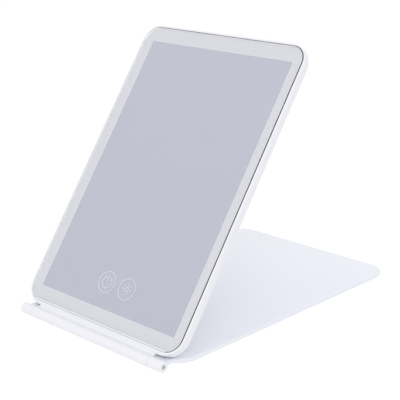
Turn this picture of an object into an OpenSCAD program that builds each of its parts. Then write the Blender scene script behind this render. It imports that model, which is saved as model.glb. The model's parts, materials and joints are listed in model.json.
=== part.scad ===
// Lighted folding makeup mirror: a thin mirror panel on a barrel hinge, with a
// cover that lies flat behind it as the stand and folds over the glass.
// Sizes are millimetres. The panel is drawn flat in its own frame, with X to the
// right, Y up the glass from the hinge axis and Z out of the glass, and is then
// leaned back about the hinge axis.

/* [Glass] */
// Width of the glass plate
glass_w = 165; // [145:1:185]
// Height of the glass plate
glass_h = 242.6; // [215:0.1:270]
// Thickness of the glass plate
glass_t = 1.2; // [1:0.1:1.6]
// Radius of the glass plate's corners
glass_r = 12.5; // [9:0.5:13.5]
// Width of the frosted band along each side
band_side = 9.1; // [8:0.1:12]
// Width of the frosted band along the top and the bottom
band_end = 12; // [11:0.5:15]
// Thickness of the silver and the frosted layer on the back of the glass
film_t = 0.1; // [0.05:0.05:0.2]
// Thickness of the dark adhesive ring under the glass
adhesive_t = 0.3; // [0.2:0.1:0.5]

/* [Panel] */
// Thickness of the whole panel
panel_t = 8.6; // [8.2:0.1:10]
// Width of the rim at the top and the sides of the glass
rim_w = 2.5; // [2:0.1:4]
// Width of the rim below the glass
rim_low = 3; // [2.5:0.1:3.6]
// How much the panel's corner radius exceeds that of an even rim
corner_extra = 2.5; // [0:0.5:3]
// Thickness of the front frame, up to the seam on the side
frame_t = 3.2; // [3:0.1:3.6]
// Width of the ledge that carries the glass
ledge_w = 3.2; // [2.8:0.1:3.8]
// Gap between the glass and the frame at the sides
edge_gap = 0.55; // [0.3:0.05:0.6]
// Gap between the glass and the frame at the top
top_gap = 0.4; // [0.3:0.05:0.7]
// Gap between the glass and the frame at the bottom, where the glass sits
seat_gap = 0.12; // [0.1:0.01:0.2]
// Rounding of the frame's front edge
frame_edge_r = 0.8; // [0.4:0.1:1.2]
// Rounding of the casing's back edge
back_edge_r = 4; // [2:0.5:4.5]
// Wall of the rear casing
wall = 1.6; // [1.4:0.1:2]

/* [Hinge] */
// Radius of the hinge barrel
barrel_r = 4.2; // [4:0.1:4.6]
// Distance of each end of the barrel from the panel's side
barrel_inset = 6.6; // [3:0.1:10]
// Length of the knuckle at each end of the barrel
end_knuckle_l = 13.3; // [11:0.1:18]
// Gap between the middle knuckle and each end knuckle
knuckle_gap = 0.5; // [0.4:0.1:0.8]
// Rounding of the barrel's two ends
barrel_end_r = 1; // [0.5:0.1:1.5]
// Distance of the glass's lower edge from the hinge axis
glass_start = 9.7; // [9.4:0.1:12]
// Distance of the glass's face behind the hinge axis
glass_drop = 1.7; // [1.5:0.1:2]
// Radius of the hollow between the panel's face and the barrel
root_fillet_r = 2; // [1:0.1:2.2]
// Diameter of the hinge pins
pin_d = 3; // [2.6:0.1:3.4]
// Length of a hinge pin inside the middle knuckle
pin_reach = 18; // [12:1:24]
// Depth of the pin's end below the barrel's end face
pin_recess = 0.6; // [0.3:0.1:1]
// Diameter of the countersunk mouth around the pin's end
pin_mouth_d = 3.8; // [3.6:0.1:4.6]
// Wall of the friction sleeve around a pin
sleeve_wall = 0.9; // [0.6:0.1:1]
// Running clearance between a pin and its sleeve
pin_play = 0.03; // [0.02:0.01:0.06]
// Thickness of the washer between two knuckles
washer_t = 0.4; // [0.3:0.1:0.4]
// Depth of the washer's rim under the barrel's surface
washer_inset = 0.2; // [0.1:0.1:1.5]
// Lean of the panel above the table
lean_deg = 55; // [52:1:80]
// Least lean, where the panel's back edge meets the cover
stop_deg = 50; // [48:1:51]

/* [Cover] */
// Thickness of the cover
cover_t = 3.5; // [3.2:0.1:4]
// Gap between the closed cover and the glass
cover_gap = 0.45; // [0.3:0.05:0.6]
// How far the cover reaches past the top of the panel
cover_overhang = 9.6; // [9:0.1:14]
// Distance of the cover's front edge from the hinge axis
cover_front = 7.5; // [7.2:0.1:9]
// Radius of the cover's corners beside the hinge
cover_front_r = 18; // [14:1:22]
// Distance of each neck's outer side from the end of the barrel
neck_inset = 2; // [0:0.1:4]
// Radius of the cover's far corners
cover_back_r = 18; // [12:1:22]
// Rounding of the cover's edges
cover_edge_r = 1.5; // [0.8:0.1:1.6]
// Distance of the lining from the cover's sides
lining_margin = 5; // [4:0.5:8]
// Distance of the lining from the cover's front edge
lining_start = 7; // [5:0.5:10]
// Distance of the lining's upper edge from the top of the closed panel
lining_end = 1; // [0.8:0.1:4]
// Thickness of the lining on the cover's inner face
lining_t = 1; // [0.8:0.1:1.2]
// Length of a rubber foot
foot_l = 26; // [16:1:40]
// Width of a rubber foot
foot_w = 6; // [4:0.5:6]
// Distance of each foot's middle from the cover's side
foot_inset = 37; // [34:1:55]
// Depth of the seat that a foot is glued into
foot_seat = 0.6; // [0.4:0.1:1]

/* [Light and touch] */
// Thickness of the milky diffuser ring
diffuser_t = 0.8; // [0.6:0.1:1]
// Air gap between the light chips and the diffuser
led_gap = 0.6; // [0.4:0.1:0.8]
// Width of a light strip's board
led_board_w = 5; // [4:0.1:5.2]
// Thickness of a light strip's board
led_board_t = 0.6; // [0.4:0.1:0.8]
// Distance between the light chips
led_pitch = 9; // [7:0.5:14]
// Length of a light chip along the strip
led_l = 3.5; // [2.8:0.1:4]
// Width of a light chip
led_w = 2.8; // [2:0.1:3]
// Height of a light chip
led_h = 0.7; // [0.5:0.1:0.9]
// Gap between a light strip's end and the piece next to it
strip_gap = 3; // [2.5:0.1:6]
// Sideways place of the power mark
power_x = -9.2; // [-14:0.1:-9]
// Sideways place of the brightness mark
bright_x = 12.6; // [9:0.1:18]
// Distance of both marks above the glass's lower edge
mark_up = 32; // [28:0.5:45]
// Radius of the ring around each mark
mark_r = 8.6; // [7:0.1:8.9]
// Width of the lines of the marks
mark_line = 0.7; // [0.5:0.1:0.9]
// Thickness of the sheet behind the silver
backing_t = 0.5; // [0.3:0.1:0.6]
// Thickness of the touch board
touch_board_t = 0.8; // [0.6:0.1:1]

/* [Power] */
// Width of the battery cell
cell_w = 70; // [50:1:90]
// Height of the battery cell up the panel
cell_h = 50; // [40:1:70]
// Thickness of the battery cell
cell_t = 4.2; // [3.5:0.1:4.4]
// Distance of the battery cell above the control board
cell_up = 34; // [20:1:60]
// Width of the control board
board_w = 45; // [40:1:55]
// Height of the control board up the panel
board_h = 25; // [22:1:30]
// Thickness of the control board
board_t = 1; // [0.8:0.1:1.2]
// Gap between the control board and the bottom light strip
board_gap = 2.8; // [2:0.1:6]
// Gap between the control board and the casing's side wall
board_side_gap = 2.4; // [2:0.1:4]
// Width of the charging socket's shell
socket_w = 9; // [8:0.1:9.5]
// Height of the charging socket's shell
socket_h = 3.2; // [2.6:0.1:3.2]
// Length of the charging socket
socket_l = 7.3; // [6.5:0.1:8.5]
// Distance of the charging socket above the control board's lower edge
socket_up = 9; // [8:0.1:11]
// Depth of the socket's mouth in the casing's side
socket_recess = 0.4; // [0.3:0.1:0.8]
// Radius of the leads
wire_r = 0.5; // [0.4:0.05:0.6]

/* [Hidden] */
$fn = 96;

// Longer than anything here, for cuts that go right through
big = 600;
// Small step past a face that a cut starts from
past = 0.5;
// Gap that lets one piece drop in beside another
fit = 0.15;

// Panel, in its own frame
front_z = -glass_drop;
back_z = front_z - panel_t;
seam_z = front_z - frame_t;
floor_z = back_z + wall;
panel_w = glass_w + 2 * rim_w;
panel_y0 = glass_start - rim_low;
panel_y1 = glass_start + glass_h + rim_w;
panel_r = glass_r + rim_w + corner_extra;
panel_h = panel_y1 - panel_y0;
panel_cy = (panel_y0 + panel_y1) / 2;
glass_cy = glass_start + glass_h / 2;
glass_back_z = front_z - glass_t;
film_back_z = glass_back_z - film_t;
ledge_z = film_back_z - adhesive_t;
inner_w = glass_w - 2 * ledge_w;
inner_h = glass_h - 2 * ledge_w;
inner_r = glass_r - ledge_w;
inner_y1 = glass_cy + inner_h / 2;
field_w = glass_w - 2 * band_side;
field_h = glass_h - 2 * band_end;
// How far the diffuser ring reaches in behind the field's edge
ring_overlap = 1.5;

// Joint between the frame and the casing
lip_w = 0.8;
lip_h = 0.6;
lip_inset = 0.5;
lip_play = 0.1;

// Cover, in the frame of the hinge axis
cover_z0 = cover_gap - glass_drop;
cover_z1 = cover_z0 + cover_t;
cover_end = panel_y1 + cover_overhang;
cover_w = panel_w;
// Gap that is left under the panel's back edge at the least lean
stop_gap = 0.3;
foot_x = cover_w / 2 - foot_inset;
foot_y = (panel_y1 + cover_end - cover_edge_r) / 2;

// Hinge
barrel_half = panel_w / 2 - barrel_inset;
knuckle_half = barrel_half - end_knuckle_l - knuckle_gap;
sleeve_id = pin_d + 2 * pin_play;
sleeve_od = sleeve_id + 2 * sleeve_wall;
washer_od = 2 * (barrel_r - washer_inset);

// Light strips and the lower edge of the control board
diffuser_z = film_back_z - diffuser_t;
led_z = diffuser_z - led_gap - led_h;
led_board_z = led_z - led_board_t;
strip_x = inner_w / 2 - fit * 2 - led_board_w / 2;
strip_y = inner_h / 2 - fit * 2 - led_board_w / 2;
board_y0 = glass_cy - strip_y + led_board_w / 2 + board_gap;
side_strip_y0 = board_y0 + board_h + strip_gap;
side_strip_y1 = glass_cy + strip_y - led_board_w / 2 - strip_gap;
side_strip_l = side_strip_y1 - side_strip_y0;
end_strip_l = 2 * (strip_x - led_board_w / 2 - strip_gap);
rib_w = 1.6;

// Boards and cell
boss_h = 1.4;
boss_r = 2.2;
board_z = floor_z + boss_h;
board_x0 = -panel_w / 2 + wall + board_side_gap;
screw_inset = 2.6;
screw_d = 1.6;
screw_head_d = 3;
screw_head_h = 1;
screw_play = 0.05;
socket_x0 = -panel_w / 2 + socket_recess;
socket_y = board_y0 + socket_up;
socket_z = board_z + board_t / 2;
socket_shell = 0.3;
cell_y0 = board_y0 + board_h + cell_up;
cell_r = 2;
tape_t = 0.2;
tape_margin = 5;

// Marks
glyph_r = 5;
gap_half = 2.2;
bar_y0 = 0.6;
sun_r = 2;
ray_in = 3;
ray_out = 4.8;
pad_r = 6.5;
mark_y = glass_start + mark_up;

// Touch board
touch_margin = 2;
touch_board_z = film_back_z - backing_t - touch_board_t;
touch_board_x0 = power_x - pad_r - touch_margin;

// Magnets, midway between the frame's opening and the groove of its lip
magnet_l = 12;
magnet_w = 3;
magnet_t = 1;
magnet_x = panel_w / 4;
magnet_y = (inner_y1 + panel_y1 - lip_inset - lip_w) / 2;

// Place of the hinge axis: the whole mirror is centred over the origin and
// stands on the plane through it
axis_y = -(cover_end - barrel_r) / 2;
axis_z = barrel_r;

module on_axis() {
    translate([0, axis_y, axis_z]) children();
}

module on_panel() {
    on_axis() rotate([lean_deg, 0, 0]) children();
}

// Flat shapes

module rounded_rect(w, h, r) {
    square([w - 2 * r, h], center = true);
    square([w, h - 2 * r], center = true);
    for (sx = [-1, 1])
        for (sy = [-1, 1])
            translate([sx * (w / 2 - r), sy * (h / 2 - r)]) circle(r);
}

module rounded_plate(w, h, r, t) {
    linear_extrude(t) rounded_rect(w, h, r);
}

module ring_plate(w, h, r, in_w, in_h, in_r, t) {
    linear_extrude(t) difference() {
        rounded_rect(w, h, r);
        rounded_rect(in_w, in_h, in_r);
    }
}

// Section of a slab's edge, from a corner's centre outwards
module edge_section(r, t, top_r, bottom_r) {
    difference() {
        square([r, t]);
        if (top_r > 0)
            translate([r - top_r, t - top_r]) difference() {
                square(top_r + past);
                circle(top_r);
            }
        if (bottom_r > 0)
            translate([r - bottom_r, bottom_r]) difference() {
                translate([0, -bottom_r - past]) square(bottom_r + past);
                circle(bottom_r);
            }
    }
}

// A slab with rounded corners and rounded top and bottom edges. It lies from
// y0 to y1, its lower corners have radius low_r and its upper ones high_r.
module soft_slab(w, y0, y1, t, low_r, high_r, top_r, bottom_r) {
    side_r = min(low_r, high_r);
    for (side = [0, 1]) mirror([side, 0, 0]) {
        translate([w / 2 - low_r, y0 + low_r, 0])
            rotate([0, 0, -90]) rotate_extrude(angle = 90)
                edge_section(low_r, t, top_r, bottom_r);
        translate([w / 2 - high_r, y1 - high_r, 0])
            rotate_extrude(angle = 90) edge_section(high_r, t, top_r, bottom_r);
        translate([w / 2 - side_r, y1 - high_r, 0])
            rotate([90, 0, 0]) linear_extrude(y1 - y0 - low_r - high_r)
                edge_section(side_r, t, top_r, bottom_r);
    }
    translate([w / 2 - low_r, y0 + low_r, 0])
        rotate([90, 0, -90]) linear_extrude(w - 2 * low_r)
            edge_section(low_r, t, top_r, bottom_r);
    translate([-w / 2 + high_r, y1 - high_r, 0])
        rotate([90, 0, 90]) linear_extrude(w - 2 * high_r)
            edge_section(high_r, t, top_r, bottom_r);
    translate([-w / 2 + side_r, y0 + low_r, 0])
        cube([w - 2 * side_r, y1 - y0 - low_r - high_r, t]);
}

// A rod along X from x0 to x1
module rod_x(x0, x1, r) {
    translate([x0, 0, 0]) rotate([0, 90, 0]) cylinder(h = x1 - x0, r = r);
}

module both_sides() {
    children();
    mirror([1, 0, 0]) children();
}

// Space that the cover needs behind the panel at the least lean, moved out by
// the given margin. It is drawn in the panel's frame.
module cover_space(margin) {
    high = big + cover_z1 + stop_gap + margin;
    rotate([-stop_deg, 0, 0]) {
        translate([-big / 2, cover_front - stop_gap - margin, -big])
            cube([big, big, high]);
        both_sides()
            translate([knuckle_half + knuckle_gap / 2 - margin, barrel_r - margin, -big])
                cube([big, big, high]);
    }
}

// Mirror panel

// Web and hollow that join the middle knuckle to the frame's face
module knuckle_root() {
    hollow_y = sqrt(pow(barrel_r + root_fillet_r, 2)
        - pow(front_z + root_fillet_r, 2));
    hollow_z = front_z + root_fillet_r;
    reach = barrel_r / (barrel_r + root_fillet_r);
    web_y1 = panel_y0 + frame_edge_r + past;
    translate([-knuckle_half, 0, 0]) rotate([90, 0, 90])
        linear_extrude(2 * knuckle_half) {
            translate([0, -barrel_r]) square([web_y1, barrel_r - glass_drop]);
            difference() {
                polygon([
                    [0, front_z - past], [hollow_y, front_z - past],
                    [hollow_y, hollow_z], [hollow_y * reach, hollow_z * reach],
                    [0, 0]
                ]);
                translate([hollow_y, hollow_z]) circle(root_fillet_r);
            }
        }
}

module front_frame() {
    color("white") on_panel() difference() {
        union() {
            translate([0, 0, seam_z])
                soft_slab(panel_w, panel_y0, panel_y1, frame_t,
                    panel_r, panel_r, frame_edge_r, 0);
            rod_x(-knuckle_half, knuckle_half, barrel_r);
            knuckle_root();
        }
        glass_pocket();
        translate([0, glass_cy, seam_z - past])
            rounded_plate(inner_w, inner_h, inner_r, big);
        lip_ring(lip_play, seam_z - past, lip_h + lip_play + past);
        magnet_pockets(magnet_y, seam_z - past, magnet_t + fit + past);
        both_sides() rod_x(knuckle_half - pin_reach - past, big, sleeve_od / 2);
        cover_space(0);
    }
}

module glass_pocket() {
    pocket_y = (top_gap - seat_gap) / 2;
    translate([0, glass_cy + pocket_y, ledge_z])
        rounded_plate(glass_w + 2 * edge_gap, glass_h + top_gap + seat_gap,
            glass_r + edge_gap, big);
}

// Lip of the casing, or with play the groove that takes it
module lip_ring(play, z0, h) {
    inset = lip_inset - play;
    w = lip_w + 2 * play;
    ring_w = panel_w - 2 * inset;
    ring_h = panel_h - 2 * inset;
    ring_r = panel_r - inset;
    translate([0, panel_cy, z0])
        ring_plate(ring_w, ring_h, ring_r,
            ring_w - 2 * w, ring_h - 2 * w, ring_r - w, h);
}

module magnet_pockets(y, z0, h) {
    both_sides()
        translate([magnet_x - magnet_l / 2 - fit, y - magnet_w / 2 - fit, z0])
            cube([magnet_l + 2 * fit, magnet_w + 2 * fit, h]);
}

module rear_casing() {
    color("white") on_panel() {
        difference() {
            union() {
                casing_shell();
                lip_ring(0, seam_z - past, lip_h + past);
            }
            cover_space(0);
            socket_hole();
        }
        led_ribs();
        board_bosses();
    }
}

module casing_shell() {
    difference() {
        translate([0, 0, back_z])
            soft_slab(panel_w, panel_y0, panel_y1, seam_z - back_z,
                panel_r, panel_r, 0, back_edge_r);
        difference() {
            translate([0, 0, floor_z])
                soft_slab(panel_w - 2 * wall, panel_y0 + wall, panel_y1 - wall, big,
                    panel_r - wall, panel_r - wall, 0, back_edge_r - wall);
            cover_space(wall);
        }
    }
}

// Hole through the side wall and the rounding behind it
module socket_hole() {
    translate([-panel_w / 2 - past, socket_y, socket_z])
        slot_rod(socket_w + 2 * fit, socket_h + 2 * fit,
            max(wall, back_edge_r) + 2 * past);
}

// A rod along X whose section is a slot, w wide and h high
module slot_rod(w, h, l) {
    rotate([90, 0, 90]) linear_extrude(l) {
        square([w - h, h], center = true);
        for (s = [-1, 1]) translate([s * (w - h) / 2, 0]) circle(h / 2);
    }
}

// Ribs that carry the four light strips
module led_ribs() {
    rib_h = led_board_z - floor_z;
    both_sides()
        translate([strip_x - rib_w / 2, side_strip_y0, floor_z])
            cube([rib_w, side_strip_l, rib_h]);
    for (s = [-1, 1])
        translate([-end_strip_l / 2, glass_cy + s * strip_y - rib_w / 2, floor_z])
            cube([end_strip_l, rib_w, rib_h]);
}

module board_corners() {
    for (x = [screw_inset + socket_l, board_w - screw_inset])
        for (y = [screw_inset, board_h - screw_inset])
            translate([board_x0 + x, board_y0 + y, 0]) children();
}

module board_bosses() {
    board_corners() translate([0, 0, floor_z]) difference() {
        cylinder(h = boss_h, r = boss_r);
        cylinder(h = big, r = screw_d / 2 + screw_play);
    }
}

module glass_plate() {
    color("lightcyan") on_panel() translate([0, glass_cy, glass_back_z])
        rounded_plate(glass_w, glass_h, glass_r, glass_t);
}

module silver_layer() {
    color("lightsteelblue") on_panel() translate([0, glass_cy, film_back_z])
        linear_extrude(film_t) difference() {
            square([field_w, field_h], center = true);
            translate([0, mark_y - glass_cy]) {
                translate([power_x, 0]) power_shape();
                translate([bright_x, 0]) brightness_shape();
            }
        }
}

module frosted_band() {
    color("gainsboro") on_panel() translate([0, glass_cy, film_back_z])
        linear_extrude(film_t) difference() {
            rounded_rect(glass_w - 2 * fit, glass_h - 2 * fit, glass_r - fit);
            square([field_w, field_h], center = true);
        }
}

module circle_line(r) {
    difference() {
        circle(r);
        circle(r - mark_line);
    }
}

module power_shape() {
    circle_line(mark_r);
    difference() {
        circle_line(glyph_r);
        translate([-gap_half, 0]) square([2 * gap_half, glyph_r + past]);
    }
    translate([-mark_line / 2, bar_y0]) square([mark_line, glyph_r]);
}

module brightness_shape() {
    circle_line(mark_r);
    circle_line(sun_r);
    for (a = [0 : 45 : 315])
        rotate(a) translate([-mark_line / 2, ray_in])
            square([mark_line, ray_out - ray_in]);
}

module power_mark() {
    color("white") on_panel() translate([power_x, mark_y, film_back_z])
        linear_extrude(film_t) power_shape();
}

module brightness_mark() {
    color("white") on_panel() translate([bright_x, mark_y, film_back_z])
        linear_extrude(film_t) brightness_shape();
}

module glass_adhesive() {
    color("dimgray") on_panel() translate([0, glass_cy, ledge_z])
        ring_plate(glass_w - 2 * fit, glass_h - 2 * fit, glass_r - fit,
            inner_w + 2 * fit, inner_h + 2 * fit, inner_r + fit, adhesive_t);
}

module diffuser_ring() {
    color("ghostwhite") on_panel() translate([0, glass_cy, diffuser_z])
        ring_plate(inner_w - 2 * fit, inner_h - 2 * fit, inner_r - fit,
            field_w - 2 * ring_overlap, field_h - 2 * ring_overlap, ring_overlap,
            diffuser_t);
}

// Light strips

module side_strip(side) {
    translate([side * strip_x - led_board_w / 2, side_strip_y0, led_board_z])
        cube([led_board_w, side_strip_l, led_board_t]);
}

module end_strip(side) {
    translate([-end_strip_l / 2, glass_cy + side * strip_y - led_board_w / 2,
        led_board_z]) cube([end_strip_l, led_board_w, led_board_t]);
}

module led_board_left() {
    color("khaki") on_panel() side_strip(-1);
}

module led_board_right() {
    color("khaki") on_panel() side_strip(1);
}

module led_board_top() {
    color("khaki") on_panel() end_strip(1);
}

module led_board_bottom() {
    color("khaki") on_panel() end_strip(-1);
}

// Centres of a row of chips on a strip of the given length
function chip_row(l) =
    let (n = floor((l - led_pitch / 2) / led_pitch))
    [for (i = [0 : n]) (i - n / 2) * led_pitch];

module led_chips() {
    side_cy = side_strip_y0 + side_strip_l / 2;
    color("lightyellow") on_panel() translate([0, 0, led_z]) {
        for (side = [-1, 1]) for (y = chip_row(side_strip_l))
            translate([side * strip_x - led_w / 2, side_cy + y - led_l / 2, 0])
                cube([led_w, led_l, led_h]);
        for (side = [-1, 1]) for (x = chip_row(end_strip_l))
            translate([x - led_l / 2, glass_cy + side * strip_y - led_w / 2, 0])
                cube([led_l, led_w, led_h]);
    }
}

// Touch switch

module backing_sheet() {
    inset = ring_overlap + fit;
    color("whitesmoke") on_panel()
        translate([0, glass_cy, film_back_z - backing_t]) linear_extrude(backing_t)
            difference() {
                rounded_rect(field_w - 2 * inset, field_h - 2 * inset, ring_overlap);
                for (x = [power_x, bright_x])
                    translate([x, mark_y - glass_cy]) circle(pad_r + fit);
            }
}

module touch_pads() {
    color("darkgray") on_panel() for (x = [power_x, bright_x])
        translate([x, mark_y, film_back_z - backing_t])
            cylinder(h = backing_t, r = pad_r);
}

module touch_board() {
    touch_h = 2 * pad_r + 2 * touch_margin;
    touch_w = bright_x - power_x + touch_h;
    color("seagreen") on_panel()
        translate([touch_board_x0, mark_y - touch_h / 2, touch_board_z])
            cube([touch_w, touch_h, touch_board_t]);
}

// Control board, socket and cell

module control_board() {
    color("seagreen") on_panel() difference() {
        translate([board_x0, board_y0, board_z]) cube([board_w, board_h, board_t]);
        translate([board_x0 - past, socket_y - socket_w / 2 - fit, board_z - past])
            cube([socket_x0 + socket_l + fit - board_x0 + past,
                socket_w + 2 * fit, big]);
        board_corners() translate([0, 0, board_z - past])
            cylinder(h = board_t + 2 * past, r = screw_d / 2 + screw_play);
    }
}

// The main chip, a round coil to its right and a low connector below
module control_chips() {
    chip_w = 6;
    chip_h = 0.9;
    coil_d = 5;
    coil_h = 1.2;
    connector_w = 4;
    connector_h = 0.8;
    spacing = 2;
    color([0.2, 0.2, 0.22]) on_panel()
        translate([board_x0 + board_w / 2, board_y0 + board_h / 2,
            board_z + board_t]) {
            translate([-chip_w / 2, -chip_w / 2, 0]) cube([chip_w, chip_w, chip_h]);
            translate([(chip_w + coil_d) / 2 + spacing, 0, 0])
                cylinder(h = coil_h, r = coil_d / 2);
            translate([-chip_w / 2, -chip_w / 2 - spacing - connector_w, 0])
                cube([chip_w, connector_w, connector_h]);
        }
}

module board_screws() {
    color("silver") on_panel() board_corners() {
        translate([0, 0, board_z + board_t])
            cylinder(h = screw_head_h, r = screw_head_d / 2);
        translate([0, 0, floor_z])
            cylinder(h = boss_h + board_t + past, r = screw_d / 2);
    }
}

module charging_socket() {
    tongue_w = socket_w - socket_h;
    tongue_t = 0.7;
    tongue_in = 1;
    back_t = 1;
    color("silver") on_panel() translate([socket_x0, socket_y, socket_z]) {
        difference() {
            slot_rod(socket_w, socket_h, socket_l);
            translate([-past, 0, 0])
                slot_rod(socket_w - 2 * socket_shell, socket_h - 2 * socket_shell,
                    socket_l - back_t + past);
        }
        translate([tongue_in, -tongue_w / 2, -tongue_t / 2])
            cube([socket_l - tongue_in - back_t / 2, tongue_w, tongue_t]);
    }
}

module battery_cell() {
    color("darkgray") on_panel()
        translate([0, cell_y0 + cell_h / 2, floor_z + tape_t])
            rounded_plate(cell_w, cell_h, cell_r, cell_t);
}

module battery_tape() {
    color("gold") on_panel()
        translate([-cell_w / 2 + tape_margin, cell_y0 + tape_margin, floor_z])
            cube([cell_w - 2 * tape_margin, cell_h - 2 * tape_margin, tape_t]);
}

// A lead along straight runs from point to point
module lead(points) {
    for (i = [0 : len(points) - 2]) {
        run = points[i + 1] - points[i];
        translate(points[i])
            rotate([0, acos(run[2] / norm(run)), atan2(run[1], run[0])])
                cylinder(h = norm(run), r = wire_r);
    }
    for (i = [1 : 1 : len(points) - 2]) translate(points[i]) sphere(wire_r);
}

module wiring() {
    board_x1 = board_x0 + board_w;
    board_y1 = board_y0 + board_h;
    board_top = board_z + board_t;
    on_floor = floor_z + wire_r;
    on_board = board_top + wire_r;
    strip_z = seam_z - wire_r - fit;
    end_x = end_strip_l / 2;
    bottom_y = glass_cy - strip_y;
    top_y = glass_cy + strip_y;
    touch_x = touch_board_x0 + touch_margin;
    touch_y = mark_y - pad_r / 2;
    cell_lead_x = board_x1 - 2 * touch_margin;
    step_z = (board_top + led_board_z) / 2;
    color("firebrick") on_panel() {
        // Two leads from the floor under the board's edge to the cell
        for (x = [cell_lead_x, cell_lead_x - 4 * wire_r])
            lead([[x, board_y1, on_floor], [x, cell_y0, on_floor]]);
        // The board to the left strip, and on round the panel from strip to strip
        lead([[-strip_x, board_y1, step_z], [-strip_x, side_strip_y0, step_z]]);
        for (side = [-1, 1])
            lead([[side * strip_x, side_strip_y1, strip_z],
                [side * strip_x, top_y, strip_z], [side * end_x, top_y, strip_z]]);
        lead([[strip_x, side_strip_y0, strip_z], [strip_x, bottom_y, strip_z],
            [end_x, bottom_y, strip_z]]);
        // The board to the touch board
        lead([[board_x1 - touch_margin, touch_y, on_board],
            [touch_x, touch_y, on_board], [touch_x, touch_y, touch_board_z]]);
    }
}

module panel_magnets() {
    color("lightslategray") on_panel() both_sides()
        translate([magnet_x - magnet_l / 2, magnet_y - magnet_w / 2, seam_z])
            cube([magnet_l, magnet_w, magnet_t]);
}

// Friction sleeve pressed into the right end of the middle knuckle
module hinge_sleeve() {
    difference() {
        rod_x(knuckle_half - pin_reach, knuckle_half, sleeve_od / 2);
        rod_x(0, big, sleeve_id / 2);
    }
}

module hinge_sleeve_left() {
    color("darkgoldenrod") on_panel() mirror([1, 0, 0]) hinge_sleeve();
}

module hinge_sleeve_right() {
    color("darkgoldenrod") on_panel() hinge_sleeve();
}

// Cover

module end_knuckle() {
    x0 = knuckle_half + knuckle_gap;
    translate([x0, 0, 0]) rotate([0, 90, 0]) rotate_extrude()
        edge_section(barrel_r, end_knuckle_l, barrel_end_r, 0);
    // Neck from the knuckle to the cover's plate
    translate([x0, 0, cover_z0])
        cube([end_knuckle_l - neck_inset, cover_front + cover_front_r, cover_t]);
}

module cover_shell() {
    color("white") on_axis() difference() {
        union() {
            translate([0, 0, cover_z0])
                soft_slab(cover_w, cover_front, cover_end, cover_t,
                    cover_front_r, cover_back_r, cover_edge_r, cover_edge_r);
            both_sides() end_knuckle();
        }
        translate([0, 0, cover_z0 - past]) lining_shape(0, lining_t + past);
        magnet_pockets(magnet_y, cover_z0, lining_t + magnet_t + fit);
        both_sides() {
            rod_x(0, big, pin_d / 2);
            rod_x(barrel_half - pin_recess, big, pin_mouth_d / 2);
            translate([foot_x, foot_y, cover_z0 - past])
                foot_shape(0, foot_seat + past);
        }
    }
}

// Outline of the lining, or with play the smaller piece that fits it
module lining_shape(play, t) {
    lining_y0 = cover_front + lining_start + play;
    lining_y1 = panel_y1 - lining_end - play;
    translate([0, (lining_y0 + lining_y1) / 2, 0])
        rounded_plate(cover_w - 2 * (lining_margin + play), lining_y1 - lining_y0,
            cover_back_r - lining_margin - play, t);
}

module cover_lining() {
    color("whitesmoke") on_axis() translate([0, 0, cover_z0])
        lining_shape(fit, lining_t);
}

module cover_magnets() {
    color("lightslategray") on_axis() both_sides()
        translate([magnet_x - magnet_l / 2, magnet_y - magnet_w / 2,
            cover_z0 + lining_t])
            cube([magnet_l, magnet_w, magnet_t]);
}

// Foot with round ends, from z = 0 up
module foot_shape(play, h) {
    linear_extrude(h) {
        square([foot_l - foot_w, foot_w - 2 * play], center = true);
        for (s = [-1, 1])
            translate([s * (foot_l - foot_w) / 2, 0]) circle(foot_w / 2 - play);
    }
}

module cover_feet() {
    foot_h = barrel_r + cover_z0 + foot_seat;
    color("lightgray") on_axis() both_sides()
        translate([foot_x, foot_y, -barrel_r]) foot_shape(fit, foot_h);
}

module hinge_pin() {
    rod_x(knuckle_half - pin_reach, barrel_half - pin_recess, pin_d / 2);
}

module hinge_pin_left() {
    color("dimgray") on_axis() mirror([1, 0, 0]) hinge_pin();
}

module hinge_pin_right() {
    color("dimgray") on_axis() hinge_pin();
}

module hinge_washer() {
    play = (knuckle_gap - washer_t) / 2;
    difference() {
        rod_x(knuckle_half + play, knuckle_half + play + washer_t, washer_od / 2);
        rod_x(0, big, sleeve_id / 2);
    }
}

module hinge_washer_left() {
    color("ivory") on_axis() mirror([1, 0, 0]) hinge_washer();
}

module hinge_washer_right() {
    color("ivory") on_axis() hinge_washer();
}

front_frame();
rear_casing();
glass_plate();
silver_layer();
frosted_band();
power_mark();
brightness_mark();
glass_adhesive();
diffuser_ring();
led_board_left();
led_board_right();
led_board_top();
led_board_bottom();
led_chips();
backing_sheet();
touch_pads();
touch_board();
control_board();
control_chips();
board_screws();
charging_socket();
battery_cell();
battery_tape();
wiring();
panel_magnets();
hinge_sleeve_left();
hinge_sleeve_right();
cover_shell();
cover_lining();
cover_magnets();
cover_feet();
hinge_pin_left();
hinge_pin_right();
hinge_washer_left();
hinge_washer_right();
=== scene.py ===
"""Lighted folding makeup mirror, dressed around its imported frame. The part's sizes are in
millimetres, as in its source, and every object is in metres."""
import json
import math
from collections import namedtuple

import bmesh
import bpy
from mathutils import Matrix, Vector


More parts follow.
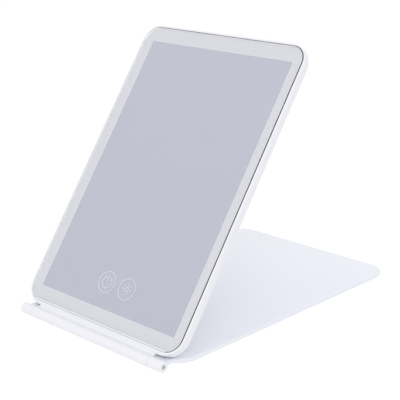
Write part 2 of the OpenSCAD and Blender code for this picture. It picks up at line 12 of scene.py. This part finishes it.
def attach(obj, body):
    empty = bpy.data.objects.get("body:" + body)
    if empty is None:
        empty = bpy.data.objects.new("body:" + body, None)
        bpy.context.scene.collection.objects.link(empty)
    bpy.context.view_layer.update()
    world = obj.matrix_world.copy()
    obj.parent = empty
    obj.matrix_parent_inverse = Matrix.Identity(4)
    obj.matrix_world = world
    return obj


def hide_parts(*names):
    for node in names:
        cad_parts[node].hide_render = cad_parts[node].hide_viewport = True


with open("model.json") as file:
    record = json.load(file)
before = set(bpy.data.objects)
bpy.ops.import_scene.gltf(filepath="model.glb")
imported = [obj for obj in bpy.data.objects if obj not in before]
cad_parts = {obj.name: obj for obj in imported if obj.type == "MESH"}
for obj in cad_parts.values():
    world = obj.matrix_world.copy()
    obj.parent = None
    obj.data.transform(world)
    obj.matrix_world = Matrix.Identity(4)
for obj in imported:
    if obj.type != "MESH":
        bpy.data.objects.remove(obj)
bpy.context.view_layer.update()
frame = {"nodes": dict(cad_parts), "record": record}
SCENE = bpy.context.scene
NODES = frame["nodes"]
PANEL_BODY = "mirror_panel"
COVER_BODY = "cover_stand"

# Camera, from the photograph's perspective
CAMERA_PLACE = Vector((0.565085, -0.604889, 0.334839))
CAMERA_AZIMUTH = math.radians(43.588)
CAMERA_ELEVATION = math.radians(17.164)
CAMERA_LENS = 96.89
CAMERA_SENSOR = 36.0
CAMERA_SHIFT = (-0.0007, 0.0031)
CAMERA_REACH = 50.0


def make_camera():
    look = Vector((
        -math.sin(CAMERA_AZIMUTH) * math.cos(CAMERA_ELEVATION),
        math.cos(CAMERA_AZIMUTH) * math.cos(CAMERA_ELEVATION),
        -math.sin(CAMERA_ELEVATION),
    ))
    data = bpy.data.cameras.new("camera")
    data.lens = CAMERA_LENS
    data.sensor_width = CAMERA_SENSOR
    data.shift_x, data.shift_y = CAMERA_SHIFT
    data.clip_end = CAMERA_REACH
    camera = bpy.data.objects.new("camera", data)
    camera.location = CAMERA_PLACE
    camera.rotation_euler = look.to_track_quat("-Z", "Y").to_euler()
    SCENE.collection.objects.link(camera)
    SCENE.camera = camera


make_camera()


# Outlines of plates and feet

CORNER_STEPS = 20
LEAST_CORNER = 0.02
FOOT_STEPS = 14


class Outline(namedtuple("Outline", "half low high corner shift", defaults=[0.0])):
    """A rounded rectangle: half its width, its lower and upper edge, the radius of its
    corners and its shift to the right."""

    def points(self, inset=0.0):
        half, low, high = self.half - inset, self.low + inset, self.high - inset
        r = max(self.corner - inset, LEAST_CORNER)
        points = []
        for cx, cy, start in ((half - r, low + r, -90), (half - r, high - r, 0),
                              (r - half, high - r, 90), (r - half, low + r, 180)):
            for k in range(CORNER_STEPS + 1):
                a = math.radians(start + 90 * k / CORNER_STEPS)
                points.append((cx + r * math.cos(a) + self.shift, cy + r * math.sin(a)))
        return points

    def level(self, inset, z):
        """The outline moved in by the inset, as a loop at one height."""
        return [(x, y, z) for x, y in self.points(inset)]


def slot_points(straight, r, steps):
    """Outline of a slot about its middle, long in the first coordinate."""
    points = []
    for sign, start in ((1, -90), (-1, 90)):
        for k in range(steps + 1):
            a = math.radians(start + 180 * k / steps)
            points.append((sign * straight + r * math.cos(a), r * math.sin(a)))
    return points


class Foot(namedtuple("Foot", "x y length width")):
    """A foot with round ends, long in X."""

    def level(self, inset, z):
        """The outline moved in by the inset, as a loop at one height."""
        straight = (self.length - self.width) / 2
        outline = slot_points(straight, self.width / 2 - inset, FOOT_STEPS)
        return [(self.x + u, self.y + v, z) for u, v in outline]


# Sizes in millimetres. They are the part's own, apart from fine edges and from what a
# comment names. On both bodies X runs to the right and Y away from the barrel, and Z runs
# out of the glass or up through the cover. All three start at the barrel's axis.
MM = 0.001
LEAN = math.radians(55)
STOP = math.radians(50)

# Panel
PANEL = Outline(85.0, 6.7, 254.8, 17.5)
FRONT = -1.7
LEDGE = -3.3
SEAM = -4.9
BACK = -10.3
WALL = 1.6
BACK_EDGE = 4.0
SEAM_ARRIS = 0.12
CAVITY = Outline(PANEL.half - WALL, 11.5, PANEL.high - WALL, PANEL.corner - WALL)
OPENING = Outline(79.3, 12.9, 249.1, 9.3)
# The front edge, the pocket and its lip follow the thin lines in the photograph
FRONT_EDGE = 0.55
POCKET = Outline(83.1, 9.66, 252.98, 13.1, -0.22)
LIP = 0.25

# The glass is pushed over to the left, so its gap is wider on the right
GLASS = Outline(82.6, 9.85, 252.45, 12.5, -0.58)
# The clear plate ends just above the films behind it
GLASS_BACK = -2.88
GLASS_ARRIS = 0.15
# Width of the pale strip along the glass front's lower edge, a painted highlight
HIGHLIGHT_STRIP = 1.0
FILM = Outline(82.35, 9.85, 252.15, 12.35)
ADHESIVE_OPENING = Outline(79.45, 13.05, 248.95, 9.45)

# Barrel and pins
BARREL = 4.2
BARREL_EDGE = 1.0
KNUCKLE_HALF = 64.6
KNUCKLE_ARRIS = 0.25
END_KNUCKLE = (65.1, 78.4)
END_ARRIS = 0.2
PIN_R = 1.5
PIN_PLAY = 0.02
PIN_REACH = 18.0
PIN_EDGE = 0.35
MOUTH_R = 1.9
MOUTH_DEPTH = 0.6
MOUTH_ARRIS = 0.15

# Web that joins the middle knuckle to the panel. Its hollow is wider than the source's.
ROOT = 3.4
WEB_END = 8.3
WEB_LOW = -3.9
WEB_STEP = 0.5

# Cover, lining and feet
COVER = Outline(85.0, 7.5, 264.4, 18.0)
COVER_LOW = -1.25
COVER_TOP = 2.25
COVER_EDGE = 1.5
LINING = Outline(80.0, 14.5, 253.8, 13.0)
LINING_T = 1.0
LINING_EDGE = 0.3
FEET = [Foot(side * 48.0, 258.85, 26.0, 6.0) for side in (-1, 1)]
FOOT_EDGE = 0.5
FOOT_SEAT = 0.6
SEAT_ARRIS = 0.15
SEAT_PLAY = 0.15

# Necks that join the end knuckles to the cover
NECK_OUT = 76.4
NECK_EDGE = 1.2
NECK_REACH = 24.0
NECK_ROOT = 1.0
FILLET = 1.0

# How far a cutter reaches past what it cuts
PAST = 1.0

# Charging socket's hole in the casing's left side
SOCKET_Y = 30.0
SOCKET_Z = -6.8
SOCKET_W = 9.0
SOCKET_H = 3.2
SOCKET_PLAY = 0.15
SOCKET_STEPS = 12
# Its mouth: how far in from the casing's side, and how much wider than the hole
SOCKET_MOUTH = ((-PAST, 0.35), (0.0, 0.35), (0.05, 0.16), (0.18, 0.04), (0.4, 0.0),
                (5.0, 0.0))

# Share of a small broken edge that its middle point lies in from both faces, and the same
# on the middle knuckle's ends
ARRIS_SHARE = 0.3
KNUCKLE_SHARE = 0.28

# Faces that join within one piece lie this far apart, so that none is in another's plane
HAIR = 0.004
# How far the necks' hollows reach into the barrel
BARREL_OVERLAP = 0.03

# Where each body's own millimetres lie in the scene
AXIS = Vector((0.0, (BARREL - COVER.high) / 2, BARREL))
COVER_FRAME = Matrix.Scale(MM, 4) @ Matrix.Translation(AXIS)
FRAMES = {
    PANEL_BODY: COVER_FRAME @ Matrix.Rotation(LEAN, 4, "X"),
    COVER_BODY: COVER_FRAME,
}

# Chamfer that clears the cover at the least lean, in the panel's frame
STOP_GAP = 0.3
CHAMFER_NORMAL = Vector((0, -math.sin(STOP), -math.cos(STOP)))
CHAMFER_POINT = -CHAMFER_NORMAL * (COVER_TOP + STOP_GAP)


# Materials

MOTTLE_SCALE = 40.0
MOTTLE_DETAIL = 4.0
GRAIN_DETAIL = 2.0
ROUGHNESS_SPREAD = 0.08
IOR = 1.46
COAT_ROUGHNESS = 0.1


def add_noise(tree, place, scale, detail):
    noise = tree.nodes.new("ShaderNodeTexNoise")
    noise.inputs["Scale"].default_value = scale
    noise.inputs["Detail"].default_value = detail
    tree.links.new(place, noise.inputs["Vector"])
    return noise.outputs["Fac"]


def add_mottle(tree, shader, place, colour, roughness, spread):
    """Soft patches that are a little lighter or darker, and a little rougher or smoother."""
    patches = add_noise(tree, place, MOTTLE_SCALE, MOTTLE_DETAIL)
    tint = tree.nodes.new("ShaderNodeMix")
    tint.data_type = "RGBA"
    tint.inputs["A"].default_value = [c * (1 - spread) for c in colour] + [1]
    tint.inputs["B"].default_value = [min(1, c * (1 + spread)) for c in colour] + [1]
    tree.links.new(patches, tint.inputs["Factor"])
    tree.links.new(tint.outputs["Result"], shader.inputs["Base Color"])
    polish = tree.nodes.new("ShaderNodeMapRange")
    polish.inputs["To Min"].default_value = roughness * (1 - ROUGHNESS_SPREAD)
    polish.inputs["To Max"].default_value = min(1.0, roughness * (1 + ROUGHNESS_SPREAD))
    tree.links.new(patches, polish.inputs["Value"])
    tree.links.new(polish.outputs["Result"], shader.inputs["Roughness"])


def add_grain(tree, shader, place, depth, scale, strength):
    """A fine grain in relief."""
    grain = add_noise(tree, place, scale, GRAIN_DETAIL)
    relief = tree.nodes.new("ShaderNodeBump")
    relief.inputs["Strength"].default_value = strength
    relief.inputs["Distance"].default_value = depth
    tree.links.new(grain, relief.inputs["Height"])
    tree.links.new(relief.outputs["Normal"], shader.inputs["Normal"])


def new_material(name, colour, roughness, metallic=0.0, coat=0.0, sheen=0.0, alpha=1.0,
                 mottle=0.012, grain_depth=0.0, grain_scale=2500.0, grain_strength=0.2):
    material = bpy.data.materials.new(name)
    material.use_nodes = True
    tree = material.node_tree
    shader = tree.nodes["Principled BSDF"]
    place = tree.nodes.new("ShaderNodeTexCoord").outputs["Object"]
    add_mottle(tree, shader, place, colour, roughness, mottle)
    if grain_depth:
        add_grain(tree, shader, place, grain_depth, grain_scale, grain_strength)
    shader.inputs["Metallic"].default_value = metallic
    shader.inputs["IOR"].default_value = IOR
    shader.inputs["Coat Weight"].default_value = coat
    shader.inputs["Coat Roughness"].default_value = COAT_ROUGHNESS
    shader.inputs["Sheen Weight"].default_value = sheen
    shader.inputs["Alpha"].default_value = alpha
    return material


FINISHES = {
    "white_shell": dict(colour=(0.76, 0.763, 0.80), roughness=0.4, grain_depth=0.00002),
    "cover_shell": dict(colour=(0.747, 0.762, 0.818), roughness=0.45, grain_depth=0.00002),
    "lining": dict(colour=(0.74, 0.74, 0.78), roughness=0.8, sheen=0.3,
                   grain_depth=0.00008, grain_scale=1800.0, grain_strength=0.5),
    "clear_glass": dict(colour=(0.95, 0.97, 0.98), roughness=0.03, alpha=0.03),
    # Ground glass edge. It also makes the pale strip along the glass's lower edge, which is
    # a painted highlight
    "ground_edge": dict(colour=(0.81, 0.83, 0.83), roughness=0.6, grain_depth=0.00001),
    # The silvering's dark lavender tint is partly painted reflection: a real silver coat
    # reflects far more, and the tint stands in for the grey surroundings that the mirror
    # shows
    "silvering": dict(colour=(0.468, 0.478, 0.552), roughness=0.02, metallic=1.0,
                      mottle=0.003),
    "frosted": dict(colour=(0.588, 0.594, 0.632), roughness=0.5, coat=0.2),
    "mark": dict(colour=(0.57, 0.58, 0.675), roughness=0.4),
    # Dark adhesive. On the bead's raised part round the glass it is also painted shade in
    # the gap
    "dark_adhesive": dict(colour=(0.02, 0.02, 0.022), roughness=0.7),
    "diffuser": dict(colour=(0.88, 0.88, 0.86), roughness=0.5),
    "led_board": dict(colour=(0.82, 0.82, 0.76), roughness=0.4),
    "led": dict(colour=(0.85, 0.72, 0.20), roughness=0.3),
    "backing": dict(colour=(0.80, 0.80, 0.80), roughness=0.6),
    "conductive_foam": dict(colour=(0.10, 0.10, 0.11), roughness=0.9),
    "circuit_board": dict(colour=(0.02, 0.12, 0.05), roughness=0.4),
    "chip": dict(colour=(0.01, 0.01, 0.012), roughness=0.5),
    "steel": dict(colour=(0.60, 0.60, 0.62), roughness=0.3, metallic=1.0),
    "pin_steel": dict(colour=(0.45, 0.45, 0.47), roughness=0.35, metallic=1.0),
    "cell": dict(colour=(0.35, 0.36, 0.38), roughness=0.35, metallic=0.8),
    "tape": dict(colour=(0.55, 0.32, 0.05), roughness=0.3),
    "wire": dict(colour=(0.35, 0.01, 0.01), roughness=0.4),
    "magnet": dict(colour=(0.55, 0.55, 0.58), roughness=0.25, metallic=1.0),
    "sleeve": dict(colour=(0.50, 0.32, 0.12), roughness=0.35, metallic=1.0),
    "washer": dict(colour=(0.80, 0.80, 0.82), roughness=0.5),
    "foot_rubber": dict(colour=(0.50, 0.50, 0.52), roughness=0.8,
                        grain_depth=0.00003, grain_strength=0.4),
}
MATERIALS = {name: new_material(name, **finish) for name, finish in FINISHES.items()}


# Finish of the CAD nodes, also of those that a finer piece replaces further down

CRISP_ANGLE = math.radians(28)
NORMAL_WEIGHT = 100


def dress_cad_nodes():
    for part in frame["record"]["subparts"]:
        piece = NODES[part["node"]]
        piece.data.materials.clear()
        piece.data.materials.append(MATERIALS[part["material_slot"]])
        crisp = piece.modifiers.new("crisp_edges", "EDGE_SPLIT")
        crisp.split_angle = CRISP_ANGLE
        even = piece.modifiers.new("even_normals", "WEIGHTED_NORMAL")
        even.weight = NORMAL_WEIGHT


dress_cad_nodes()


# Mesh building

CUT_SLACK = 1e-5


def skin(bm, loops, ring=False, caps=False):
    """Faces between neighbouring loops of the same number of points. A ring also joins the
    last loop to the first, and caps close both ends."""
    rows = [[bm.verts.new(p) for p in loop] for loop in loops]
    pairs = list(zip(rows, rows[1:]))
    if ring:
        pairs.append((rows[-1], rows[0]))
    for a, b in pairs:
        n = len(a)
        for k in range(n):
            j = (k + 1) % n
            bm.faces.new((a[k], a[j], b[j], b[k]))
    if caps:
        bm.faces.new(list(reversed(rows[0])))
        bm.faces.new(rows[-1])


def prism_x(bm, section, stations):
    """A solid along X. Each station is its x and how far in the section lies there."""
    loops = [[(x, y, z) for y, z in section(inset)] for x, inset in stations]
    skin(bm, loops, caps=True)


def turned(bm, profile, steps=64):
    """A turned shape about X from a profile of x and radius, closed on itself."""
    rows = []
    for k in range(steps):
        a = 2 * math.pi * k / steps
        rows.append([bm.verts.new((x, r * math.cos(a), r * math.sin(a)))
                     for x, r in profile])
    n = len(profile)
    for k in range(steps):
        a, b = rows[k], rows[(k + 1) % steps]
        for j in range(n):
            i = (j + 1) % n
            bm.faces.new((a[j], b[j], b[i], a[i]))


def cut_away(bm, point, normal):
    """Cut off what lies on the normal's side of a plane, and close the cut."""
    parts = list(bm.verts) + list(bm.edges) + list(bm.faces)
    cut = bmesh.ops.bisect_plane(bm, geom=parts, plane_co=point, plane_no=normal,
                                 clear_outer=True, dist=CUT_SLACK)
    edges = [e for e in cut["geom_cut"] if isinstance(e, bmesh.types.BMEdge)]
    bmesh.ops.holes_fill(bm, edges=edges, sides=0)


def plain_object(name, bm):
    """A helper object, whose mesh is still in millimetres."""
    bmesh.ops.recalc_face_normals(bm, faces=bm.faces)
    mesh = bpy.data.meshes.new(name)
    bm.to_mesh(mesh)
    bm.free()
    thing = bpy.data.objects.new(name, mesh)
    SCENE.collection.objects.link(thing)
    return thing


def mesh_of(thing):
    """The helper object's mesh, ready to go on with. The object is deleted."""
    bm = bmesh.new()
    bm.from_mesh(thing.data)
    bpy.data.objects.remove(thing)
    return bm


def cut_with(piece, cutter):
    """Boolean difference, worked out at once. The cutter is deleted."""
    tool = piece.modifiers.new("cut", "BOOLEAN")
    tool.operation = "DIFFERENCE"
    tool.solver = "EXACT"
    tool.object = cutter
    bpy.context.view_layer.update()
    solid = piece.evaluated_get(bpy.context.evaluated_depsgraph_get())
    mesh = bpy.data.meshes.new_from_object(solid)
    piece.modifiers.clear()
    old = piece.data
    piece.data = mesh
    bpy.data.meshes.remove(old)
    bpy.data.objects.remove(cutter)


def make_piece(name, node, bm, body, materials, sharp=32.0):
    """A scene object that replaces a CAD node, from a mesh in the body's millimetres.
    Edges of more than the sharp angle stay crisp."""
    bmesh.ops.recalc_face_normals(bm, faces=bm.faces)
    bm.transform(FRAMES[body])
    mesh = bpy.data.meshes.new(name)
    bm.to_mesh(mesh)
    bm.free()
    for face in mesh.polygons:
        face.use_smooth = True
    mesh.set_sharp_from_angle(angle=math.radians(sharp))
    for slot in materials:
        mesh.materials.append(MATERIALS[slot])
    piece = bpy.data.objects.new(name, mesh)
    SCENE.collection.objects.link(piece)
    even = piece.modifiers.new("even_normals", "WEIGHTED_NORMAL")
    even.keep_sharp = True
    even.weight = NORMAL_WEIGHT
    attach(piece, body)
    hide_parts(node)


# Rounded edges


def quarter(steps):
    """Turning round a quarter circle of radius 1: how far in, and how far along."""
    angles = [math.radians(90 * k / steps) for k in range(steps + 1)]
    return [(1 - math.cos(a), math.sin(a)) for a in angles]


def lower_edge(shape, r, low, steps, inset=0.0):
    """Loops round a lower edge, from the bottom face out to the side."""
    return [shape.level(inset + r * turn, low + r * (1 - along))
            for turn, along in reversed(quarter(steps))]


def upper_edge(shape, r, top, steps):
    """Loops round an upper edge, from the side in to the top face."""
    return [shape.level(r * turn, top - r * (1 - along)) for turn, along in quarter(steps)]


def broken_edge(size, share=ARRIS_SHARE):
    """Points of a small broken edge: how far from the end face, and how far in."""
    middle = share * size
    return (0, size), (middle, middle), (size, 0)


def seam_edge(up):
    """Loops round the panel's edge at the seam. Up is 1 on the frame, -1 on the casing."""
    return [PANEL.level(inset, SEAM + up * z) for z, inset in broken_edge(SEAM_ARRIS)]


def arc(cy, cz, r, start, end, steps):
    """Points of an arc in the section across X, with its angles in degrees."""
    angles = [math.radians(start + (end - start) * k / steps) for k in range(steps + 1)]
    return [(cy + r * math.cos(a), cz + r * math.sin(a)) for a in angles]


def hollow_centre(core, r, z):
    """How far out a hollow's centre lies, for it to touch the barrel, and its angle."""
    y = math.sqrt((core + r) ** 2 - z ** 2)
    return y, math.degrees(math.atan2(z, y))


# Front frame with the middle knuckle


def knuckle_section(inset):
    """Barrel, hollow root and web, in the panel's frame."""
    z = FRONT + ROOT
    y, touch = hollow_centre(BARREL, ROOT, z)
    points = arc(0, 0, BARREL - inset, -90, touch - 360, steps=48)
    points += arc(y, z, ROOT + inset, 180 + touch, 270, steps=10)
    points += [(WEB_END, FRONT - HAIR - inset), (WEB_END, WEB_LOW),
               (PANEL.low, WEB_LOW + inset), (PANEL.low - WEB_STEP, inset - BARREL)]
    return points


def build_front_frame():
    bm = bmesh.new()
    loops = seam_edge(1)
    loops += upper_edge(PANEL, FRONT_EDGE, FRONT, steps=8)
    for turn, along in quarter(steps=5):
        loops.append(POCKET.level(-LIP * (1 - along), FRONT - LIP * turn))
    loops += [POCKET.level(0, LEDGE), OPENING.level(0, LEDGE), OPENING.level(0, SEAM)]
    skin(bm, loops, ring=True)
    cut_away(bm, CHAMFER_POINT, CHAMFER_NORMAL)
    ends = [(KNUCKLE_HALF - x, inset)
            for x, inset in broken_edge(KNUCKLE_ARRIS, KNUCKLE_SHARE)]
    stations = [(-x, inset) for x, inset in ends] + ends[::-1]
    prism_x(bm, knuckle_section, stations)
    make_piece("front_frame_shell", "front_frame", bm, PANEL_BODY, ["white_shell"])


# Rear casing


def build_rear_casing():
    bm = bmesh.new()
    loops = lower_edge(CAVITY, BACK_EDGE - WALL, BACK + WALL, steps=6)
    loops.append(CAVITY.level(0, SEAM))
    loops += seam_edge(-1)
    loops += reversed(lower_edge(PANEL, BACK_EDGE, BACK, steps=10))
    skin(bm, loops, caps=True)
    cut_away(bm, CHAMFER_POINT, CHAMFER_NORMAL)
    casing = plain_object("casing", bm)
    cut_with(casing, socket_hole())
    make_piece("rear_casing_shell", "rear_casing", mesh_of(casing), PANEL_BODY,
               ["white_shell"])


def socket_hole():
    """Cutter for the charging socket's hole, with a rounded mouth."""
    bm = bmesh.new()
    straight = (SOCKET_W - SOCKET_H) / 2
    loops = []
    for depth, grow in SOCKET_MOUTH:
        r = SOCKET_H / 2 + SOCKET_PLAY + grow
        loops.append([(depth - PANEL.half, SOCKET_Y + u, SOCKET_Z + v)
                      for u, v in slot_points(straight, r, SOCKET_STEPS)])
    skin(bm, loops, caps=True)
    return plain_object("slot", bm)


# Glass plate: clear faces, ground edge, and a pale strip along the lower edge of its front
# that is a painted highlight


def build_glass():
    bm = bmesh.new()
    loops = [GLASS.level(GLASS_ARRIS, GLASS_BACK), GLASS.level(0, GLASS_BACK + GLASS_ARRIS),
             GLASS.level(0, FRONT - GLASS_ARRIS), GLASS.level(GLASS_ARRIS, FRONT),
             GLASS.level(HIGHLIGHT_STRIP, FRONT)]
    skin(bm, loops, caps=True)
    near = 0.01
    for face in bm.faces:
        middle = face.calc_center_median()
        on_edge = GLASS_BACK + near < middle.z < FRONT - GLASS_ARRIS
        # The strip along the lower edge of the front is a painted highlight
        on_highlight_strip = middle.z > FRONT - near and middle.y < GLASS.low + HIGHLIGHT_STRIP
        face.material_index = 1 if on_edge or on_highlight_strip else 0
    make_piece("glass_sheet", "glass_plate", bm, PANEL_BODY,
               ["clear_glass", "ground_edge"], sharp=20.0)


# Dark adhesive ring under the glass, with a dark bead round its edge. The ring and the
# bead's foot are real adhesive. Where the bead stands up into the gap on the right and the
# top, it is painted shade: a dark fill where the gap lies in shade

# How fast the bead's painted shade sinks round the corners, and its gap from the glass
SHADE_BEAD_FADE = 2.5
SHADE_BEAD_GAP = 0.015
SHADE_BEAD_W = 0.4
SHADE_BEAD_SOFTNESS = 0.05


def shade_bead_loop(out, low, high):
    """A loop round the glass. On the right and the top it stands out, up to the high level,
    and there it is painted shade in the gap; towards the left and the bottom it runs down to
    the low one and lies on the edge."""
    points = []
    for (x, y), (far_x, far_y) in zip(GLASS.points(), GLASS.points(-1.0)):
        share = min(1.0, max(0.0, SHADE_BEAD_FADE * (far_x - x + far_y - y + 1.0)))
        reach = SHADE_BEAD_GAP + out * share
        points.append((x + (far_x - x) * reach, y + (far_y - y) * reach,
                       low + (high - low) * share))
    return points


def build_adhesive_and_shade_bead():
    bm = bmesh.new()
    ring_low, ring_top = LEDGE + 0.01, LEDGE + 0.29
    # The bead rises to just under the glass's front; that raised part is painted shade in
    # the gap
    shade_bead_low, shade_bead_top = LEDGE + 0.2, FRONT - 0.06
    foot_top = LEDGE + 0.12
    foot_out = 0.1
    margin_in = 0.05
    drop = 0.02
    loops = [
        ADHESIVE_OPENING.level(0, ring_low),
        ADHESIVE_OPENING.level(0, ring_top),
        FILM.level(margin_in, ring_top),
        shade_bead_loop(0, ring_top + drop / 2, shade_bead_top),
        shade_bead_loop(SHADE_BEAD_W - SHADE_BEAD_SOFTNESS, ring_top, shade_bead_top),
        shade_bead_loop(SHADE_BEAD_W, ring_top - drop, shade_bead_top - SHADE_BEAD_SOFTNESS),
        shade_bead_loop(SHADE_BEAD_W, ring_top - 2 * drop, shade_bead_low),
        FILM.level(-foot_out, foot_top),
        FILM.level(-foot_out, ring_low),
    ]
    skin(bm, loops, ring=True)
    # Beside the films, from the third loop to the fourth, the glass lies on a pale margin
    n = len(loops[0])
    bm.faces.ensure_lookup_table()
    for face in bm.faces[2 * n:3 * n]:
        face.material_index = 1
    make_piece("glass_adhesive_shade_ring", "glass_adhesive", bm, PANEL_BODY,
               ["dark_adhesive", "ground_edge"])


# Cover with its knuckles


def neck_section(inset):
    """Neck with hollow blends to the barrel above and below, in the cover's frame."""
    core = BARREL - BARREL_OVERLAP
    top, low = COVER_TOP - HAIR, COVER_LOW + HAIR
    top_y, top_a = hollow_centre(core, FILLET, top + FILLET)
    low_y, low_a = hollow_centre(core, FILLET, low - FILLET)
    r = FILLET + inset
    points = [(NECK_REACH, low + inset), (NECK_REACH, top - inset)]
    points += reversed(arc(top_y, top + FILLET, r, 180 + top_a, 270, steps=8))
    points += [(NECK_ROOT, NECK_ROOT), (NECK_ROOT, -NECK_ROOT)]
    points += reversed(arc(low_y, low - FILLET, r, 90, 180 + low_a, steps=8))
    return points


def knuckle_profile(side):
    """An end knuckle's section, from its bore's inner end round to the pin's mouth."""
    inner, outer = END_KNUCKLE
    bore = PIN_R + PIN_PLAY
    points = [(inner, bore)]
    points += [(inner + x, BARREL - depth) for x, depth in broken_edge(END_ARRIS)]
    points += [(outer - BARREL_EDGE * (1 - along), BARREL - BARREL_EDGE * turn)
               for turn, along in quarter(steps=8)]
    points += [(outer - x, MOUTH_R + depth) for x, depth in broken_edge(MOUTH_ARRIS)]
    points += [(outer - MOUTH_DEPTH, MOUTH_R), (outer - MOUTH_DEPTH, bore)]
    return [(side * x, r) for x, r in points]


def add_end_knuckle(bm, side):
    """The turned knuckle has the barrel's finish, and its neck has the cover's."""
    other_faces = len(bm.faces)
    turned(bm, knuckle_profile(side))
    bm.faces.ensure_lookup_table()
    for face in bm.faces[other_faces:]:
        face.material_index = 1
    ends = [(END_KNUCKLE[0], 0.0)]
    for turn, along in quarter(steps=6):
        ends.append((NECK_OUT - NECK_EDGE * (1 - along), NECK_EDGE * turn))
    prism_x(bm, neck_section, [(side * x, inset) for x, inset in ends])


def build_cover():
    bm = bmesh.new()
    loops = [LINING.level(0, COVER_LOW + LINING_T), LINING.level(0, COVER_LOW + SEAT_ARRIS),
             LINING.level(-SEAT_ARRIS, COVER_LOW)]
    loops += lower_edge(COVER, COVER_EDGE, COVER_LOW, steps=8)
    loops += upper_edge(COVER, COVER_EDGE, COVER_TOP, steps=8)
    skin(bm, loops, caps=True)
    plate = plain_object("plate", bm)
    for foot in FEET:
        bm = bmesh.new()
        skin(bm, [foot.level(0, COVER_LOW - PAST), foot.level(0, COVER_LOW + FOOT_SEAT)],
             caps=True)
        cut_with(plate, plain_object("seat", bm))
    bm = mesh_of(plate)
    for side in (-1, 1):
        add_end_knuckle(bm, side)
    make_piece("cover_plate_shell", "cover_shell", bm, COVER_BODY,
               ["cover_shell", "white_shell"])


def build_lining():
    bm = bmesh.new()
    loops = lower_edge(LINING, LINING_EDGE, COVER_LOW, steps=4, inset=SEAT_PLAY)
    loops.append(LINING.level(SEAT_PLAY, COVER_LOW + LINING_T))
    skin(bm, loops, caps=True)
    make_piece("cover_lining_sheet", "cover_lining", bm, COVER_BODY, ["lining"])


def build_feet():
    bm = bmesh.new()
    for foot in FEET:
        loops = lower_edge(foot, FOOT_EDGE, -AXIS.z, steps=5, inset=SEAT_PLAY)
        loops.append(foot.level(SEAT_PLAY, COVER_LOW + FOOT_SEAT))
        skin(bm, loops, caps=True)
    make_piece("cover_feet_pads", "cover_feet", bm, COVER_BODY, ["foot_rubber"])


# Hinge pins

# The turned profile ends this close to the axis, and the points there are then merged
POLE = 0.001


def build_pin(side, name, node):
    """A pin with rounded ends."""
    bm = bmesh.new()
    inner, outer = KNUCKLE_HALF - PIN_REACH, END_KNUCKLE[1] - MOUTH_DEPTH
    profile = [(inner, POLE), (inner, PIN_R - PIN_EDGE)]
    for turn, along in reversed(quarter(steps=4)):
        profile.append((inner + PIN_EDGE * (1 - along), PIN_R - PIN_EDGE * turn))
    for turn, along in quarter(steps=4):
        profile.append((outer - PIN_EDGE * (1 - along), PIN_R - PIN_EDGE * turn))
    profile.append((outer, POLE))
    turned(bm, [(side * x, r) for x, r in profile])
    bmesh.ops.remove_doubles(bm, verts=bm.verts, dist=1.5 * POLE)
    make_piece(name, node, bm, COVER_BODY, ["pin_steel"])


build_front_frame()
build_rear_casing()
build_glass()
build_adhesive_and_shade_bead()
build_cover()
build_lining()
build_feet()
build_pin(-1, "hinge_pin_left_turned", "hinge_pin_left")
build_pin(1, "hinge_pin_right_turned", "hinge_pin_right")


# Floor, world and lights

# The floor is a lit white panel, so that nothing casts a shadow on it
FLOOR_GLOW = 0.97
FLOOR_RADIUS = 14.0

# Brightness of the studio: at the horizon, added towards the zenith, and taken off
# towards the right and put on towards the left
WORLD_LEVEL = 0.965
WORLD_RISE = 0.19
WORLD_TILT = -0.08
WORLD_COLOUR = (0.99, 0.99, 1.0, 1)


def make_floor():
    bpy.ops.mesh.primitive_circle_add(vertices=96, radius=FLOOR_RADIUS, fill_type="NGON")
    floor = bpy.context.object
    floor.name = "floor"
    material = new_material("floor", colour=(0.06, 0.06, 0.06), roughness=0.9, mottle=0.002)
    shader = material.node_tree.nodes["Principled BSDF"]
    shader.inputs["Emission Color"].default_value = (1, 1, 1, 1)
    shader.inputs["Emission Strength"].default_value = FLOOR_GLOW
    shader.inputs["Specular IOR Level"].default_value = 0.0
    floor.data.materials.append(material)


def make_world():
    world = bpy.data.worlds.new("studio")
    world.use_nodes = True
    SCENE.world = world
    nodes = world.node_tree.nodes
    links = world.node_tree.links
    place = nodes.new("ShaderNodeTexCoord")
    slope = nodes.new("ShaderNodeVectorMath")
    slope.operation = "DOT_PRODUCT"
    slope.inputs[1].default_value = (WORLD_TILT, 0.0, WORLD_RISE)
    links.new(place.outputs["Generated"], slope.inputs[0])
    brightness = nodes.new("ShaderNodeMath")
    brightness.operation = "ADD"
    brightness.inputs[1].default_value = WORLD_LEVEL
    links.new(slope.outputs["Value"], brightness.inputs[0])
    links.new(brightness.outputs["Value"], nodes["Background"].inputs["Strength"])
    nodes["Background"].inputs["Color"].default_value = WORLD_COLOUR


def area_light(name, place, target, size, power):
    """A soft round lamp, which no surface shows in its reflections."""
    data = bpy.data.lights.new(name, "AREA")
    data.shape = "DISK"
    data.size = size
    data.energy = power
    lamp = bpy.data.objects.new(name, data)
    lamp.location = place
    lamp.visible_glossy = False
    aim = Vector(target) - Vector(place)
    lamp.rotation_euler = aim.to_track_quat("-Z", "Y").to_euler()
    SCENE.collection.objects.link(lamp)


make_floor()
make_world()
area_light("front", place=(0.9, -1.2, 0.75), target=(0, -0.05, 0.08), size=0.6, power=3.4)
area_light("back", place=(0.5, 1.7, 0.9), target=(0, 0, 0.03), size=0.8, power=2.2)
SCENE.view_settings.view_transform = "Standard"
